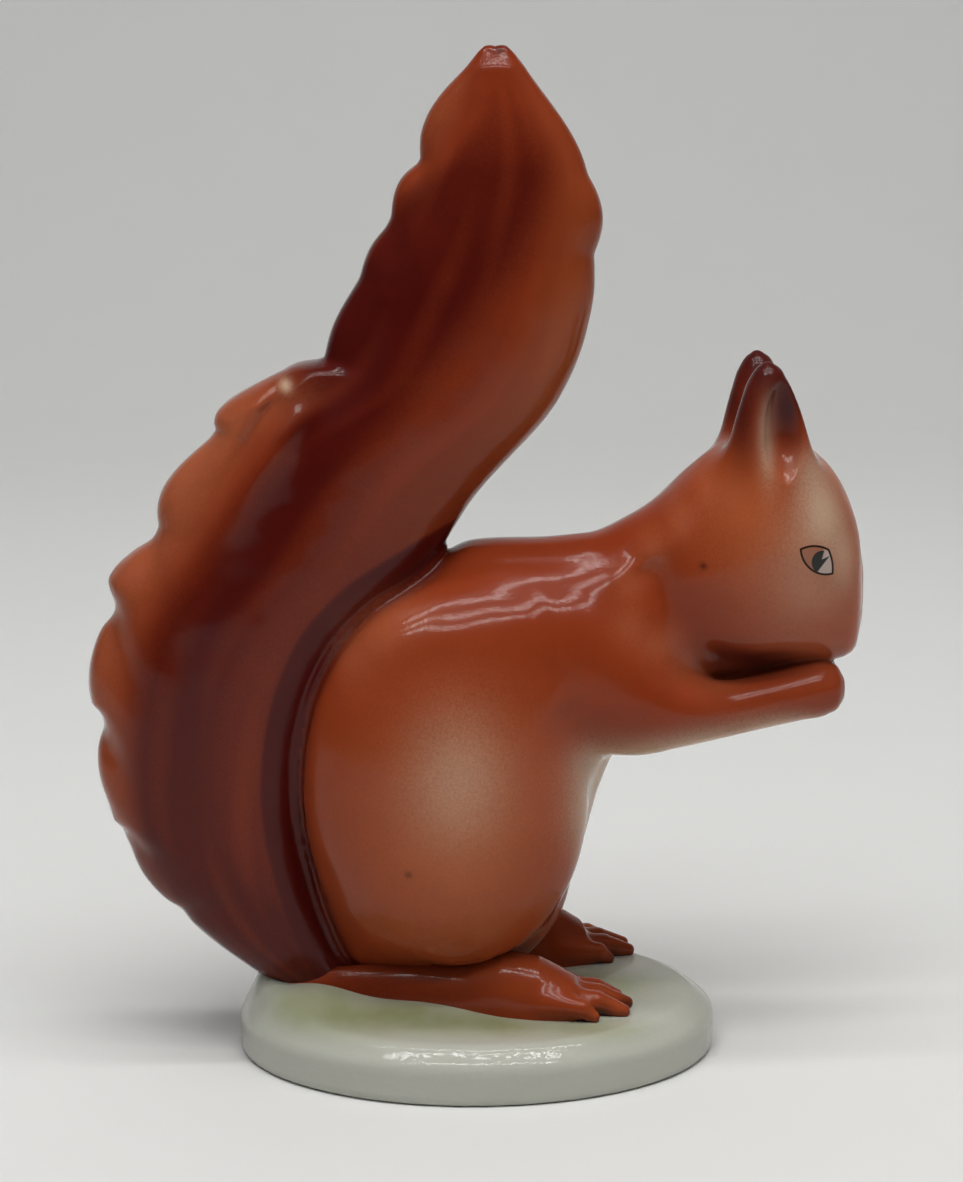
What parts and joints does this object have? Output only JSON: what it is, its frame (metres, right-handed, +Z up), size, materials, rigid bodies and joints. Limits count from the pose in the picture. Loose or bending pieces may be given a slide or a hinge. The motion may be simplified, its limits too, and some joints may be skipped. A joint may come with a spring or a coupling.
{
  "type": "squirrel figurine",
  "caption": "Glazed porcelain squirrel sitting up on an oval plinth, paws at its mouth and a tall curved tail; a free-standing ornament.",
  "frame": {"origin": "middle of the plinth's underside, on the surface that the figurine stands on", "axes": "+X the way the squirrel faces, +Y its left side, +Z up"},
  "size_m": [0.117, 0.0572, 0.1532],
  "materials": {
    "plinth_glaze": "clear gloss glaze over white porcelain, with a pale green wash on top",
    "body_glaze": "airbrushed red-brown under clear gloss glaze",
    "haunch_glaze": "red-brown fading to a cream spot under clear gloss glaze",
    "face_glaze": "red-brown fading to cream on the face under clear gloss glaze",
    "ear_glaze": "dark maroon under clear gloss glaze",
    "tail_glaze": "dark brown band and orange edges under clear gloss glaze"
  },
  "bodies": {
    "root": {"base_plinth": "plinth_glaze", "torso": "body_glaze", "haunch_right": "haunch_glaze", "haunch_left": "haunch_glaze", "head": "face_glaze", "ear_right": "ear_glaze", "ear_left": "ear_glaze", "arm_right": "body_glaze", "arm_left": "body_glaze", "hind_foot_right": "body_glaze", "hind_foot_left": "body_glaze", "tail": "tail_glaze"}
  },
  "joints": []
}
